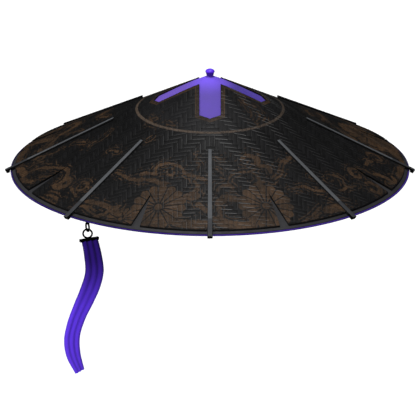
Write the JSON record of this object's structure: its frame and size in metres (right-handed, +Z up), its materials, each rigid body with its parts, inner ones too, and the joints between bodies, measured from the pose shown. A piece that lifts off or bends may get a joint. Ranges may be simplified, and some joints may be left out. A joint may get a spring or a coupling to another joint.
{
  "type": "samurai hat",
  "caption": "Wide conical lacquered woven hat with a stiff under band, violet cloth lining, radial ribs, apex knob and a pleated ribbon hung on rings below the rim.",
  "frame": {"origin": "the point on the hat's axis where the crown of the wearer's head carries it, 115 mm above the rim plane", "axes": "+Z up along the cone's axis, front of the hat along -Y, the wearer's left along +X"},
  "size_m": [0.5146, 0.5146, 0.334],
  "materials": {
    "lining_cloth": "plain woven violet cloth, slightly sheened",
    "band_board": "satin dark grey lacquer over stiff board",
    "lacquered_weave": "black lacquered herringbone strips with worn brown painted flowers and scrolls",
    "rib_lacquer": "satin dark grey lacquer with near-black sides",
    "knob_lacquer": "violet lacquer, satin gloss",
    "black_iron": "blackened iron, satin",
    "ribbon_cloth": "pleated violet silk cloth with fine lengthwise weave"
  },
  "bodies": {
    "root": {"lining": "lining_cloth", "under_band": "band_board", "woven_cover": "lacquered_weave", "rib_1": "rib_lacquer", "rib_2": "rib_lacquer", "rib_3": "rib_lacquer", "rib_4": "rib_lacquer", "rib_5": "rib_lacquer", "rib_6": "rib_lacquer", "rib_7": "rib_lacquer", "rib_8": "rib_lacquer", "knob": "knob_lacquer", "rim_eye": "black_iron", "upper_ring": "black_iron", "clamp_bar": "black_iron", "ribbon": "ribbon_cloth"}
  },
  "joints": []
}
